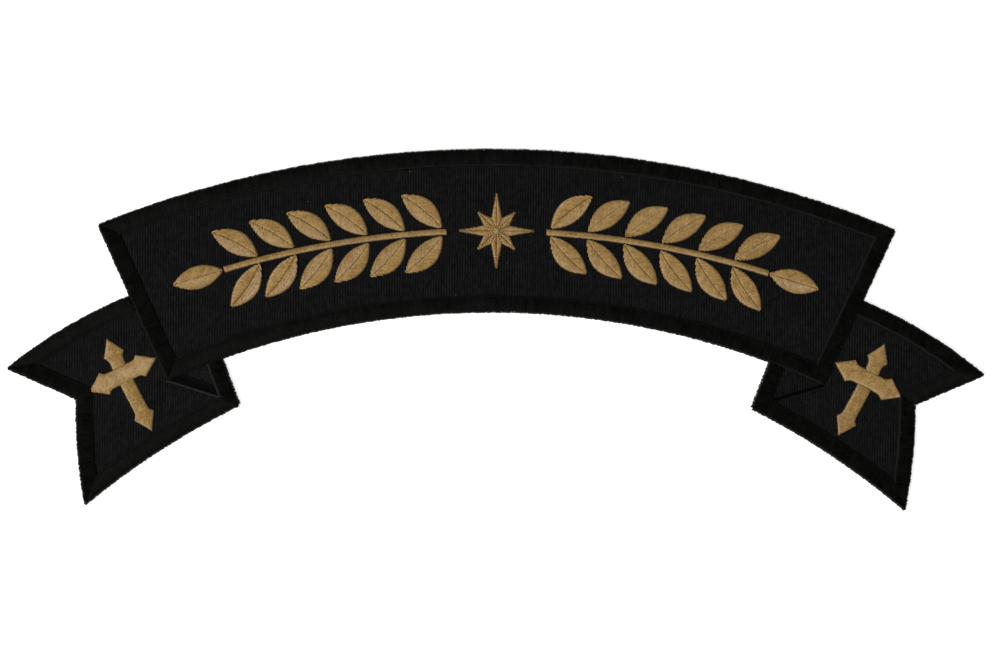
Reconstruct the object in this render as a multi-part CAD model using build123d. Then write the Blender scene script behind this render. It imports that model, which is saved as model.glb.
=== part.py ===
from build123d import *
import math
import os

# Rocker patch: an arched cloth band with a folded-back swallow tail at each end, edged in
# satin stitch and embroidered with a star, two laurel branches and a cross on each tail.
# Millimetres. +X runs along the patch, +Y towards the top of the arch and +Z out of the
# face. The back of the cloth lies at Z = 0.
# The patch is drawn with X = 0 on its middle and Y = 0 at the top of the arch. The right
# half is drawn and the left half is its mirror image. At the end everything is moved so
# that the origin is under the middle of the whole outline.

# Layers
cloth_thickness = 1.2
stitch_gap = 0.03  # between satin and cloth, and between one satin piece and the next
border_height = 0.9
border_round = 0.6
satin_height = 0.8
satin_round = 0.35
edge_cover = 0.5  # border stitches that turn down over the cut edge of the cloth

# Arched band: two inches high, between a top and a bottom arc that aren't concentric
band_height = 50.9
band_top_radius = 329.0
band_bottom_radius = 250.0
band_half_width = 124.3  # to the top corners
band_end_lean = 24.4  # degrees from upright, the top leaning outwards

# Swallow tail, measured from the band's bottom corner
tail_top_up_end = 28.9  # up the band's end to where the tail's top edge comes out
tail_tip_reach = 50.0
tail_tip_rise = 3.4
tail_top_bow = 1.7
tail_notch_reach = 28.4
tail_notch_drop = 6.0
tail_foot_reach = 25.4
tail_foot_drop = 39.1
tail_foot_bow = 0.8
tail_bottom_bow = -1.75  # hollow, as the band's bottom edge is
tail_inner_back = 22.9
tail_inner_drop = 7.5
tail_inner_lean = 21.0  # degrees from upright, the top leaning outwards
tail_tuck = 16.0  # how far the drawn tail runs on under the band

# Satin border and the stitched line of the fold
border_width = 4.8
fold_line_width = 1.0
fold_line_height = 0.45
fold_line_round = 0.15

# Cross on each tail. Its bar runs from the band to the notch, where the border covers the
# tip, and its upright stops short of the border. Stitching pulled its arms a little askew.
cross_bar_lean = 27.0  # degrees that the bar slopes down outwards
cross_head_lean = 24.2  # degrees from upright, the top leaning outwards
cross_foot_lean = 28.0
cross_drop = 0.35  # the bar's middle line below the corner of the field at the notch
cross_arm_gap = 0.12  # from the bar's inner tip to the band
cross_arm_tuck = 0.75  # the bar's outer tip past the corner of the field at the notch
cross_head_margin = 4.6
cross_foot_margin = 1.65
cross_bar_width = 5.2
cross_bar_finial = 7.6
cross_bar_rise = 0.1
cross_upright_width = 4.5
cross_upright_finial = 6.9
finial_length = 5.4
finial_neck = 2.4
finial_neck_bow = 0.35

# Star in the middle of the band
star_rays = 8
star_long_ray = 12.6
star_short_ray = 8.6
star_valley_radius = 4.3

# Laurel branches on the arc midway between the band's edges
branch_end_margin = 9.0
branch_star_gap = 3.0
stem_width = 1.8
first_leaf = 1.2  # along the stem, from its star end
leaf_pairs = 6
leaf_length = 16.5
leaf_bow = 0.7
leaf_angle = 42.0  # degrees between a leaf and the stem
leaf_spacing = 0.6  # from one leaf to the next, which sets how wide a leaf is
leaf_stem_gap = 0.2

# Parting line down the middle of a leaf or a ray, where two rows of satin stitch meet
rib_width = 0.4
rib_depth = 0.4
rib_end = 1.1

satin_base = cloth_thickness + stitch_gap
far_off = 500.0  # longer than anything on the patch

# The rounded top edge of satin stitch, from its foot to the top
EDGE_ROWS = [
    # below the top and inside the outline, both as shares of the edge's round
    {"below": 1.0, "inside": 0.0},
    {"below": 0.3, "inside": 0.3},
    {"below": 0.0, "inside": 1.0},
]


def turned(length, degrees):
    """A flat step of this length, turned anticlockwise from +X."""
    angle = math.radians(degrees)
    return Vector(length * math.cos(angle), length * math.sin(angle))


def at_left(point):
    """The same point on the left half."""
    return Vector(-point.X, point.Y)


def mirrored(piece):
    """The same piece on the left half."""
    return mirror(piece, about=Plane.YZ)


def whole_line(point, way):
    """A line through a point, run on past the patch both ways."""
    return Line(point - way * far_off, point + way * far_off)


def whole_circle(centre, radius):
    """The circle that an arc lies on."""
    return CenterArc(centre, radius, 0, 360)


def meeting(path, other, near):
    """Where two paths cross, nearest to a point."""
    found = [Vector(*vertex) for vertex in path.intersect(other)]
    return min(found, key=lambda point: (point - near).length)


def arc_bow(start, end, radius):
    """The height of an arc over the straight line between its ends."""
    return radius - math.sqrt(radius**2 - (end - start).length ** 2 / 4)


# An outline is a list of sides that run clockwise. A side is its first corner and its bow,
# the height of its arc over the line to the next corner, which is above zero where the arc
# swells outwards and zero where the side is straight.


def side_path(start, end, bow, outwards):
    """The line or circle that a side lies on, moved outwards by an amount."""
    way = (end - start).normalized()
    out = Vector(-way.Y, way.X)
    if bow == 0:
        return whole_line(start + out * outwards, way)
    radius = (end - start).length ** 2 / (8 * bow) + bow / 2
    centre = (start + end) * 0.5 + out * (bow - radius)
    return whole_circle(centre, abs(radius + outwards))


def moved_sides(sides, outwards):
    """The same outline with every side moved outwards by an amount."""
    starts = [corner for corner, _ in sides]
    bows = [bow for _, bow in sides]
    ends = starts[1:] + starts[:1]
    paths = [side_path(*side, outwards) for side in zip(starts, ends, bows)]
    paths_before = paths[-1:] + paths[:-1]
    corners = [meeting(*place) for place in zip(paths_before, paths, starts)]
    next_corners = corners[1:] + corners[:1]
    moved = []
    for corner, next_corner, path, bow in zip(corners, next_corners, paths, bows):
        if bow:
            bow = math.copysign(arc_bow(corner, next_corner, path.radius), bow)
        moved.append((corner, bow))
    return moved


def outline(sides, outwards=0.0):
    """The face inside an outline, grown outwards by an amount."""
    if outwards:
        sides = moved_sides(sides, outwards)
    edges = []
    for (start, bow), (end, _) in zip(sides, sides[1:] + sides[:1]):
        edges.append(SagittaArc(start, end, bow) if bow else Line(start, end))
    return make_face(edges)


def crowned(sides, base, height, edge_round, outwards=0.0, rounding=-1):
    """A block on an outline whose top edge closes in, or opens out where rounding is 1."""
    edge_round = min(edge_round, height)
    sections = [Pos(0, 0, base) * outline(sides, outwards)]
    for row in EDGE_ROWS:
        level = base + height - row["below"] * edge_round
        if level > base:
            grown = outwards + rounding * row["inside"] * edge_round
            sections.append(Pos(0, 0, level) * outline(sides, grown))
    return loft(sections, ruled=True)


def satin(sides, height):
    """A pad of satin stitch on the cloth."""
    return crowned(sides, satin_base, height, satin_round)


def parting(start, end, bow):
    """The cutter of the line where two rows of satin stitch meet."""
    along = (end - start).normalized() * rib_end
    crescent = [(start + along, bow + rib_width / 2), (end - along, rib_width / 2 - bow)]
    floor = satin_base + satin_height - rib_depth
    return extrude(Pos(0, 0, floor) * outline(crescent), 2 * rib_depth)


# The band's corners and sides, and the arc that runs midway between its edges
top_corner = Vector(
    band_half_width, math.sqrt(band_top_radius**2 - band_half_width**2) - band_top_radius
)
band_end_down = turned(1, -90 - band_end_lean)
band_end_out = turned(1, -band_end_lean)
band_end = whole_line(top_corner, band_end_down)
bottom_arc = whole_circle(Vector(0, -band_height - band_bottom_radius), band_bottom_radius)
bottom_corner = meeting(band_end, bottom_arc, top_corner)
band_sides = [
    (at_left(top_corner), arc_bow(at_left(top_corner), top_corner, band_top_radius)),
    (top_corner, 0),
    (bottom_corner, -arc_bow(bottom_corner, at_left(bottom_corner), band_bottom_radius)),
    (at_left(bottom_corner), 0),
]
middle_radius = (band_top_radius + band_bottom_radius) / 2
middle_centre = Vector(0, -band_height / 2 - middle_radius)

# The right tail's corners and sides; its last two corners lie under the band
tail_start = bottom_corner - band_end_down * tail_top_up_end
tail_tip = bottom_corner + Vector(tail_tip_reach, tail_tip_rise)
tail_notch = bottom_corner + Vector(tail_notch_reach, -tail_notch_drop)
tail_foot = bottom_corner + Vector(tail_foot_reach, -tail_foot_drop)
tail_inner = bottom_corner + Vector(-tail_inner_back, -tail_inner_drop)
tail_inner_up = turned(1, 90 - tail_inner_lean)
tail_sides = [
    (tail_start, tail_top_bow),
    (tail_tip, 0),
    (tail_notch, tail_foot_bow),
    (tail_foot, tail_bottom_bow),
    (tail_inner, 0),
    (tail_inner + tail_inner_up * (tail_inner_drop + tail_tuck), 0),
    (tail_start - band_end_out * tail_tuck, 0),
]

# The corners of the cloth field inside the tail's border, in the order of its sides
tail_field_sides = moved_sides(tail_sides, -border_width)
field_notch = tail_field_sides[2][0]
field_inner = tail_field_sides[4][0]


def whole_patch(outwards=0.0):
    """The outline of the band and both tails in one face."""
    tail = outline(tail_sides, outwards)
    return outline(band_sides, outwards) + tail + mirrored(tail)


def ground():
    """One sheet of cloth for the band and both tails, cut just inside the border's edge."""
    return extrude(whole_patch(-edge_cover), cloth_thickness)


def border(sides):
    """Satin stitch along an outline, on the cloth and down over its cut edge."""
    height = satin_base + border_height
    ring = crowned(sides, 0, height, border_round)
    ring -= crowned(sides, 0, height, border_round, -border_width, rounding=1)
    return ring - extrude(whole_patch(stitch_gap - edge_cover), satin_base)


def on_tail(piece):
    """What shows of a piece on the right tail, between the band and the tail's border."""
    field = outline(tail_sides, -border_width - stitch_gap)
    return (piece & extrude(field, satin_base + 2 * satin_height)) - under_band()


def under_band():
    """The room of the band and its border, which the tail's pieces stay clear of."""
    return extrude(outline(band_sides, stitch_gap), satin_base + 2 * border_height)


def fold_line():
    """The line of stitches from the band's bottom corner to the tail's inner corner."""
    way = (field_inner - bottom_corner).normalized()
    side = Vector(way.Y, -way.X) * (fold_line_width / 2)
    start = bottom_corner
    end = field_inner + way * border_width
    sides = [(start + side, 0), (start - side, 0), (end - side, 0), (end + side, 0)]
    return on_tail(crowned(sides, satin_base, fold_line_height, fold_line_round))


def placed(sides, origin, degrees):
    """An outline drawn about zero, turned and moved to its place."""
    return [(origin + corner.rotate(Axis.Z, degrees), bow) for corner, bow in sides]


def arm_end(length, waist, finial):
    """The pointed end of a cross arm along +Y, from the neck on the left to the right."""
    shoulder = length - finial_length
    neck = shoulder - finial_neck
    return [
        (Vector(-waist / 2, neck), -finial_neck_bow),
        (Vector(-finial / 2, shoulder), 0),
        (Vector(0, length), 0),
        (Vector(finial / 2, shoulder), -finial_neck_bow),
        (Vector(waist / 2, neck), 0),
    ]


def upright(centre, degrees, margin):
    """The satin of the upright on one side of the bar, up to a margin from the border."""
    way = Line(centre, centre + turned(far_off, degrees))
    length = (way & outline(tail_field_sides)).edge().length - margin
    half = cross_upright_width / 2
    end = arm_end(length, cross_upright_width, cross_upright_finial)
    sides = [(Vector(-half, 0), 0)] + end + [(Vector(half, 0), 0)]
    return on_tail(satin(placed(sides, centre, degrees - 90), satin_height))


def cross():
    """The three satin pieces of the right tail's cross."""
    bar_way = turned(1, -cross_bar_lean)
    beside_notch = field_notch - turned(cross_drop, 90 - cross_bar_lean)
    inner = meeting(whole_line(beside_notch, bar_way), band_end, field_notch)
    inner += bar_way * cross_arm_gap
    outer = beside_notch + bar_way * cross_arm_tuck
    centre = (inner + outer) * 0.5
    half_bar = arm_end((outer - inner).length / 2, cross_bar_width, cross_bar_finial)
    bar = []
    for degrees in (-90, 90):
        bar += placed(half_bar, centre, degrees - cross_bar_lean)
    bar_height = satin_height + cross_bar_rise
    bar_room = extrude(outline(bar, stitch_gap), satin_base + 2 * bar_height)
    return {
        "top": upright(centre, 90 - cross_head_lean, cross_head_margin) - bar_room,
        "bar": on_tail(satin(bar, bar_height)),
        "shaft": upright(centre, -90 - cross_foot_lean, cross_foot_margin) - bar_room,
    }


def star():
    """Pointed star of long and short rays in turn, with a parting line along each ray."""
    middle = Vector(0, -band_height / 2)
    tips = []
    sides = []
    for ray in range(star_rays):
        reach = star_short_ray if ray % 2 else star_long_ray
        turn = 90 - ray * 360 / star_rays
        tips.append(middle + turned(reach, turn))
        sides.append((tips[-1], 0))
        sides.append((middle + turned(star_valley_radius, turn - 180 / star_rays), 0))
    body = satin(sides, satin_height)
    for tip in tips:
        body -= parting(middle, tip, 0)
    return body


def branch_point(along, above=0.0):
    """A point by its length along the branch's arc and its height above that arc."""
    return middle_centre + turned(middle_radius + above, branch_way(along) + 90)


def branch_way(along):
    """The angle at which the branch runs there, in degrees from +X."""
    return -math.degrees(along / middle_radius)


def leaf(base, degrees, width, bow):
    """One satin leaf from its base, with a parting line down its bowed middle."""
    tip = base + turned(leaf_length, degrees)
    body = satin([(base, width / 2 + bow), (tip, width / 2 - bow)], satin_height)
    return body - parting(base, tip, bow)


def stem(start, end):
    """The stem between two lengths along the branch's arc."""
    half = stem_width / 2
    above = [branch_point(along, half) for along in (start, end)]
    below = [branch_point(along, -half) for along in (end, start)]
    sides = [
        (above[0], arc_bow(*above, middle_radius + half)),
        (above[1], 0),
        (below[0], -arc_bow(*below, middle_radius - half)),
        (below[1], 0),
    ]
    return satin(sides, satin_height)


def branch():
    """The stem and the leaves of the right branch, in their order from the star."""
    upper_half = CenterArc(middle_centre, middle_radius, 0, 180)
    half_band = (upper_half & outline(band_sides, -border_width)).edge().length / 2
    stem_start = star_long_ray + branch_star_gap
    last_leaf = half_band - branch_end_margin - leaf_length
    first_pair = stem_start + first_leaf
    pitch = (last_leaf - first_pair) / leaf_pairs
    width = pitch * math.sin(math.radians(leaf_angle)) - leaf_spacing
    leaves = []
    for pair in range(leaf_pairs):
        along = first_pair + pair * pitch
        for side in (1, -1):
            base = branch_point(along, side * (stem_width / 2 + leaf_stem_gap))
            way = branch_way(along) + side * leaf_angle
            leaves.append(leaf(base, way, width, side * leaf_bow))
    leaves.append(leaf(branch_point(last_leaf), branch_way(last_leaf), width, 0))
    return stem(stem_start, last_leaf - leaf_stem_gap), leaves


def pieces():
    """Every piece by name, still in the drawing's frame."""
    right = {"tail_border": border(tail_sides) - under_band(), "fold_line": fold_line()}
    for name, piece in cross().items():
        right[f"cross_{name}"] = piece
    right["stem"], leaves = branch()
    for number, piece in enumerate(leaves, start=1):
        right[f"leaf_{number:02d}"] = piece

    found = {"twill_ground": ground(), "band_border": border(band_sides), "star": star()}
    for name, piece in right.items():
        found[f"right_{name}"] = piece
        found[f"left_{name}"] = mirrored(piece)
    return found


# The origin is under the middle of the whole outline
outline_middle = whole_patch().bounding_box().center()
to_origin = Pos(-outline_middle.X, -outline_middle.Y, 0)

os.makedirs("parts", exist_ok=True)
for node, solid in pieces().items():
    export_step(to_origin * solid, f"parts/{node}.step")
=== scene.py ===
# %% [markdown]
# # An embroidered rocker patch
# A rocker patch is an arched cloth badge for the back of a vest or jacket. This one is a
# ribbon: a band between two arcs, with a swallow tail at each end. It is cut from black
# twill, edged in black satin stitch and embroidered in gold.
#
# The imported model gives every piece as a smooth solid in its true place. This lesson reads
# the outlines of those solids and fills them with what the real patch is made of: a ribbed
# cloth, and some four thousand single stitches of rayon thread.

import math

import bpy
import numpy as np
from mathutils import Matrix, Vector
from mathutils.geometry import delaunay_2d_cdt
from mathutils.kdtree import KDTree


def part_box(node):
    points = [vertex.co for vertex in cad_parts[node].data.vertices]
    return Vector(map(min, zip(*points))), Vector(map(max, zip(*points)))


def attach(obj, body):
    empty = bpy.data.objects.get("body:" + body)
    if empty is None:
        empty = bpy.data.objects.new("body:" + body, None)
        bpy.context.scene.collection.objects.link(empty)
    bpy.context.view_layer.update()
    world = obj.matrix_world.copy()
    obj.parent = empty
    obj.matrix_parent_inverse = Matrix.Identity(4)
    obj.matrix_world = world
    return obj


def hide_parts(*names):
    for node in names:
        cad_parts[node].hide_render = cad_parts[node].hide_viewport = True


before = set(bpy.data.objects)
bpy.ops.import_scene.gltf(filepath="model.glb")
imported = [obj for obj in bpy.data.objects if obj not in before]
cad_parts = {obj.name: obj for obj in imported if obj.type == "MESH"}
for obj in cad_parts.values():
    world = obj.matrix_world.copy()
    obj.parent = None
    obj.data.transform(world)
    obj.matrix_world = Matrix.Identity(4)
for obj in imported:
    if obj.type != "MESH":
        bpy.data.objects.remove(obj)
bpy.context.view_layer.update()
MM = 0.001
print("Solids in the frame:", len(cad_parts))

# %% [markdown]
# ## Camera
# The photograph looks straight down, as a copy stand or a scanner does. Its scale comes from
# the patch's width over its width in pixels. A long lens keeps the view nearly flat. The
# patch lies turned by four tenths of a degree, so the camera is rolled the other way.


# %% Camera at the photograph's angle
def add_object(data):
    """Puts a camera, a light or a mesh into the scene, under its own name."""
    made = bpy.data.objects.new(data.name, data)
    bpy.context.scene.collection.objects.link(made)
    return made


photo_width = 1000
photo_scale = 0.3113 * MM
photo_roll = math.radians(0.39)
photo_middle_x = 1.25 * MM
photo_middle_y = -1.48 * MM
lens = 85.0
sensor = 36.0

camera_data = bpy.data.cameras.new("copy_stand_camera")
camera_data.lens = lens
camera_data.sensor_width = sensor
camera = add_object(camera_data)
cloth_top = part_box("twill_ground")[1].z
camera_height = cloth_top + photo_width * photo_scale * lens / sensor
camera.location = (photo_middle_x, photo_middle_y, camera_height)
camera.rotation_euler = (0, 0, photo_roll)
bpy.context.scene.camera = camera
bpy.context.scene.view_settings.view_transform = "Standard"
print("Camera above the patch by", round(camera_height, 3), "m")

# %% [markdown]
# ## Light
# Thread shows its direction only under light from the side, and shines most where it lies
# square to that light. In the photograph the threads that run from upper left to lower
# right are the light ones, and flanks that face left shine, so its main light is at the
# lower left. Weaker softboxes at the right, top and bottom fill the shadows.

# %% Softboxes round the patch
# name, azimuth from +X towards +Y and height above the floor in degrees, side in m, watts
SOFTBOXES = [
    ("main_left", 203, 46, 0.8, 40),
    ("fill_right", 10, 55, 1.6, 4.0),
    ("fill_top", 95, 50, 1.6, 4.0),
    ("fill_bottom", 265, 50, 1.6, 3.2),
]
softbox_distance = 2.5

for name, azimuth, elevation, side, watts in SOFTBOXES:
    around = math.radians(azimuth)
    up = math.radians(elevation)
    towards = Vector((
        math.cos(around) * math.cos(up), math.sin(around) * math.cos(up), math.sin(up),
    ))
    light_data = bpy.data.lights.new(name, "AREA")
    light_data.size = side
    light_data.energy = watts
    softbox = add_object(light_data)
    softbox.location = towards * softbox_distance
    softbox.rotation_euler = towards.to_track_quat("Z", "Y").to_euler()
print("Softboxes:", ", ".join(row[0] for row in SOFTBOXES))

# %% [markdown]
# ## Nodes and colours
# A material is a small graph of nodes. One function adds any node with its settings and
# links. Colours are written as sRGB hex values, as a paint chart gives them, and turned to
# the linear values that the renderer adds light in.


# %% Helpers for materials
def linear(colour):
    """An sRGB hex colour as linear red, green, blue and alpha."""
    parts = [int(colour[i : i + 2], 16) / 255 for i in (1, 3, 5)]
    return (*(c / 12.92 if c <= 0.04045 else ((c + 0.055) / 1.055) ** 2.4 for c in parts), 1)


def node(tree, kind, sockets=None, **settings):
    """Adds a shader node. A socket gets a value, an output, or a node for its first output."""
    made = tree.nodes.new("ShaderNode" + kind)
    for name, value in settings.items():
        setattr(made, name, value)
    for name, value in (sockets or {}).items():
        if isinstance(value, bpy.types.Node):
            value = value.outputs[0]
        if isinstance(value, bpy.types.NodeSocket):
            tree.links.new(value, made.inputs[name])
        else:
            made.inputs[name].default_value = value
    return made


def new_material(name):
    """An empty material and its node tree."""
    material = bpy.data.materials.new(name)
    material.use_nodes = True
    material.node_tree.nodes.clear()
    return material, material.node_tree


def set_stops(ramp, stops):
    """Gives a colour ramp its places and colours."""
    for element, (position, colour) in zip(ramp.color_ramp.elements, stops):
        element.position = position
        element.color = linear(colour)


# %% [markdown]
# ## Floor
# The photograph's ground is pure white, as on a light table: a sheet of matt white acrylic
# that is lit from below as well. The light from below takes the depth out of the shadows
# and lets the cloth be as black as it is, without a flood of light from above.

# %% Light table
floor_side = 6.0
floor_gap = 0.02 * MM
table_glow = 0.8
room_light = 0.06

floor_material, tree = new_material("matt_white_acrylic")
acrylic = node(tree, "BsdfPrincipled", {
    "Base Color": linear("#f4f4f2"), "Roughness": 0.7, "IOR": 1.49,
    "Emission Color": linear("#ffffff"), "Emission Strength": table_glow,
})
node(tree, "OutputMaterial", {"Surface": acrylic})

half = floor_side / 2
floor_mesh = bpy.data.meshes.new("light_table")
floor_corners = [(-half, -half), (half, -half), (half, half), (-half, half)]
floor_mesh.from_pydata([(x, y, -floor_gap) for x, y in floor_corners], [], [(0, 1, 2, 3)])
floor_mesh.materials.append(floor_material)
add_object(floor_mesh)

world = bpy.data.worlds.new("studio_room")
world.use_nodes = True
background = world.node_tree.nodes["Background"]
background.inputs["Color"].default_value = linear("#e8eaee")
background.inputs["Strength"].default_value = room_light
bpy.context.scene.world = world
print("Light table:", floor_side, "m a side")

# %% [markdown]
# ## Black twill
# The cloth is polyester twill, dyed black. Its warp stands up in ribs 0.81 mm apart, which
# run straight down the patch, in the band and in both tails alike. The ribs are in the mesh.
# The material adds what is finer: the slanted floats of yarn across each rib, the grain of
# the fibres, slubs where the yarn is thicker, and a few specks of lint. Its colour is also
# painted lighter on the backs of the ribs and darker in their valleys, as painted highlight
# and painted shade. Spun black yarn is matt, with a soft sheen at grazing light. The fibres
# are drawn coarser than they are, because a real one is too fine to show.

# %% Material of the twill
rib_pitch = 0.81 * MM
float_pitch = 0.55 * MM
float_relief = 0.35  # against the grain's 1
worn_patch = 5 * MM
slub_width = 0.7 * MM
slub_squash = 0.45  # makes slubs longer along the ribs
fibre_grain = 0.12 * MM
lint_spacing = 9 * MM
lint_size = 0.22 * MM
# tone of the cloth, painted lighter on rib backs and creases and darker in rib valleys and
# the pocket as painted highlight and painted shade, and the colour that shows there
TWILL_DYE = [(0.12, "#070707"), (0.72, "#232324")]

twill_material, tree = new_material("woven_black_polyester_twill")
place = node(tree, "TexCoord").outputs["Object"]
axes = node(tree, "SeparateXYZ", {"Vector": place})
rib = node(tree, "Attribute", attribute_name="rib").outputs["Fac"]
painted_shading = node(tree, "Attribute", attribute_name="painted_shading").outputs["Fac"]
half_turns = node(tree, "Math", {0: rib, 1: math.pi}, operation="MULTIPLY")
rib_wave = node(tree, "Math", {0: half_turns}, operation="SINE")
rib_back = node(tree, "Math", {0: rib_wave}, operation="ABSOLUTE")
floats_along = node(tree, "Math", {
    0: axes.outputs["Y"], 1: 2 * math.pi / float_pitch, 2: half_turns,
}, operation="MULTIPLY_ADD")
floats = node(tree, "Math", {0: floats_along}, operation="SINE")
fibres = node(tree, "TexNoise", {"Vector": place, "Scale": 1 / fibre_grain, "Detail": 3.0})
relief = node(tree, "Math", {0: floats, 1: float_relief, 2: fibres}, operation="MULTIPLY_ADD")
bump = node(tree, "Bump", {"Height": relief, "Strength": 0.5, "Distance": 0.08 * MM})
yarn_lots = node(tree, "TexNoise", {
    "Vector": place, "Scale": 1 / worn_patch, "Detail": 7.0, "Roughness": 0.88,
})
dashes = node(tree, "VectorMath", {0: place, 1: (1.0, slub_squash, 1.0)}, operation="MULTIPLY")
slubs = node(tree, "TexNoise", {"Vector": dashes, "Scale": 1 / slub_width, "Detail": 2.0})
slub_shade = node(tree, "MapRange", {
    "Value": slubs, "From Min": 0.3, "From Max": 0.7, "To Min": 0.5, "To Max": 1.5,
})
# Painted light: the colour is lighter on the backs of the ribs and darker in their valleys, where
# shade falls; the slubs and yarn lots change the tone.
slubs_and_rib_light = node(tree, "Math", {0: rib_back, 1: slub_shade}, operation="MULTIPLY")
yarn_tone_and_rib_light = node(tree, "Math", {0: slubs_and_rib_light, 1: yarn_lots}, operation="MULTIPLY")
# Painted light from the pockets: painted shade behind the fold line, painted highlight on the
# creases
tone_with_painted_shading = node(tree, "Math", {0: yarn_tone_and_rib_light, 1: painted_shading}, operation="SUBTRACT")
dye = node(tree, "ValToRGB", {"Fac": tone_with_painted_shading})
set_stops(dye, TWILL_DYE)
lint_cells = node(tree, "TexVoronoi", {"Vector": place, "Scale": 1 / lint_spacing})
lint = node(tree, "Math", {0: lint_cells, 1: lint_size / lint_spacing}, operation="LESS_THAN")
linted = node(tree, "Mix", {0: lint, 6: dye, 7: linear("#4a4a4a")}, data_type="RGBA")
yarn = node(tree, "BsdfPrincipled", {
    "Base Color": linted.outputs[2], "Roughness": 0.85, "Specular IOR Level": 0.1,
    "Normal": bump,
})
node(tree, "OutputMaterial", {"Surface": yarn})

# %% [markdown]
# ## Film on the back
# The back of such a patch is sealed with a thin heat-seal film of polyethylene, so that it
# can be ironed on. It is smooth and a little glossy, and the weave shows through it faintly.

# %% Material of the film
wave_length = 2 * math.pi / 20  # of the wave node at a scale of 1
cockle_size = 5 * MM
FILM_TINT = [(0.0, "#1b1b1d"), (1.0, "#2c2c30")]

film_material, tree = new_material("heat_seal_polyethylene_film")
place = node(tree, "TexCoord").outputs["Object"]
weave = node(tree, "TexWave", {
    "Vector": place, "Scale": wave_length / rib_pitch, "Distortion": 0.4,
}, wave_type="BANDS", bands_direction="X")
cockle = node(tree, "TexNoise", {"Vector": place, "Scale": 1 / cockle_size})
film_relief = node(tree, "Math", {
    0: weave.outputs["Fac"], 1: 0.3, 2: cockle,
}, operation="MULTIPLY_ADD")
film_bump = node(tree, "Bump", {"Height": film_relief, "Strength": 0.4, "Distance": 0.1 * MM})
film_tint = node(tree, "ValToRGB", {"Fac": cockle})
set_stops(film_tint, FILM_TINT)
film = node(tree, "BsdfPrincipled", {
    "Base Color": film_tint, "Roughness": 0.38, "IOR": 1.51, "Normal": film_bump,
})
node(tree, "OutputMaterial", {"Surface": film})

# %% [markdown]
# ## Rayon embroidery thread
# Machine embroidery thread is two strands of bright rayon filament, twisted together. Each
# stitch is a length of it pulled tight, so its round back mirrors a line of light, and a
# field of stitches turns from light to dark with their direction. That comes from the
# mesh. The material adds the twist, small changes of dye from stitch to stitch, and a
# softer shine than one smooth rod would have, because the filaments spread it.
#
# Twist and tone are read along each stitch: its map runs along it in millimetres and round
# it from 0 to 1. The attribute tone holds one number for each stitch plus its part's lift:
# the leaves' lift is tone, while the crosses' lighter bars and darker uprights are painted
# sheen. dive says how far the thread has gone down. Where it bends its colour is another
# shade, a painted highlight on the black and gold threads, and at its foot it is a painted
# shade, except on the black thread, whose foot is painted lighter to lift its shadow.

# %% Material of the thread, for any dye
ply_pitch = 0.6  # millimetres along the thread from one strand to the next
glint_length = 0.7  # millimetres of thread that share one painted glint
glint_rows = 97.0  # sets the painted glints of neighbours apart
handled_patch = 3 * MM
stitch_share = 0.18  # how much of a stitch's own tone shows
darkest, lightest = 0.35, 0.95
bend_dive = (0.04, 0.2)
foot_dive = (0.5, 0.8)


def rayon_thread(name, dark, light, bend_painted_light, foot_painted_light, shine, glint_weight):
    """Twisted rayon thread of two shades, with painted light where it bends and dives into the
    cloth.
    """
    material, tree = new_material(name)
    stitch_map = node(tree, "UVMap", uv_map="stitch")
    along_round = node(tree, "SeparateXYZ", {"Vector": stitch_map})
    turns = node(tree, "Math", {
        0: along_round.outputs["X"], 1: 1 / ply_pitch, 2: along_round.outputs["Y"],
    }, operation="MULTIPLY_ADD")
    angle = node(tree, "Math", {0: turns, 1: 2 * math.pi}, operation="MULTIPLY")
    strands = node(tree, "Math", {0: angle}, operation="SINE")
    twist_bump = node(tree, "Bump", {"Height": strands, "Strength": 0.2, "Distance": 0.03 * MM})
    tone = node(tree, "Attribute", attribute_name="tone").outputs["Fac"]
    place = node(tree, "TexCoord").outputs["Object"]
    handling = node(tree, "TexNoise", {
        "Vector": place, "Scale": 1 / handled_patch, "Detail": 6.0, "Roughness": 0.75,
    })
    mixed = node(tree, "Math", {0: tone, 1: stitch_share, 2: handling}, operation="MULTIPLY_ADD")
    glint_row = node(tree, "Math", {0: tone, 1: glint_rows}, operation="MULTIPLY")
    glint_place = node(tree, "CombineXYZ", {"X": along_round.outputs["X"], "Y": glint_row})
    # Painted glints: lighter and darker specks along each stitch, for filaments that catch the
    # light
    painted_glints = node(tree, "TexNoise", {
        "Vector": glint_place, "Scale": 1 / glint_length, "Detail": 1.0,
    })
    tone_with_glints = node(tree, "Math", {0: painted_glints, 1: glint_weight, 2: mixed}, operation="MULTIPLY_ADD")
    shade = node(tree, "MapRange", {
        "Value": tone_with_glints, "From Min": darkest + glint_weight / 2,
        "From Max": lightest + glint_weight / 2,
    })
    dyed = node(tree, "Mix", {0: shade, 6: linear(dark), 7: linear(light)}, data_type="RGBA")
    depth = node(tree, "Attribute", attribute_name="dive").outputs["Fac"]
    # Painted light: lighter where the thread bends down (painted highlight) and darker at its
    # foot (painted shade), but lighter at the foot of the black thread
    for (start, end), colour in ((bend_dive, bend_painted_light), (foot_dive, foot_painted_light)):
        share = node(tree, "MapRange", {"Value": depth, "From Min": start, "From Max": end})
        dyed = node(tree, "Mix", {
            0: share, 6: dyed.outputs[2], 7: linear(colour),
        }, data_type="RGBA")
    along = node(tree, "Tangent", direction_type="UV_MAP", uv_map="stitch")
    filaments = node(tree, "BsdfPrincipled", {
        "Base Color": dyed.outputs[2], "Roughness": 0.5, "Specular IOR Level": shine,
        "Anisotropic": 0.75, "Anisotropic Rotation": 0.25, "Tangent": along,
        "Normal": twist_bump,
    })
    node(tree, "OutputMaterial", {"Surface": filaments})
    return material


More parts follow.
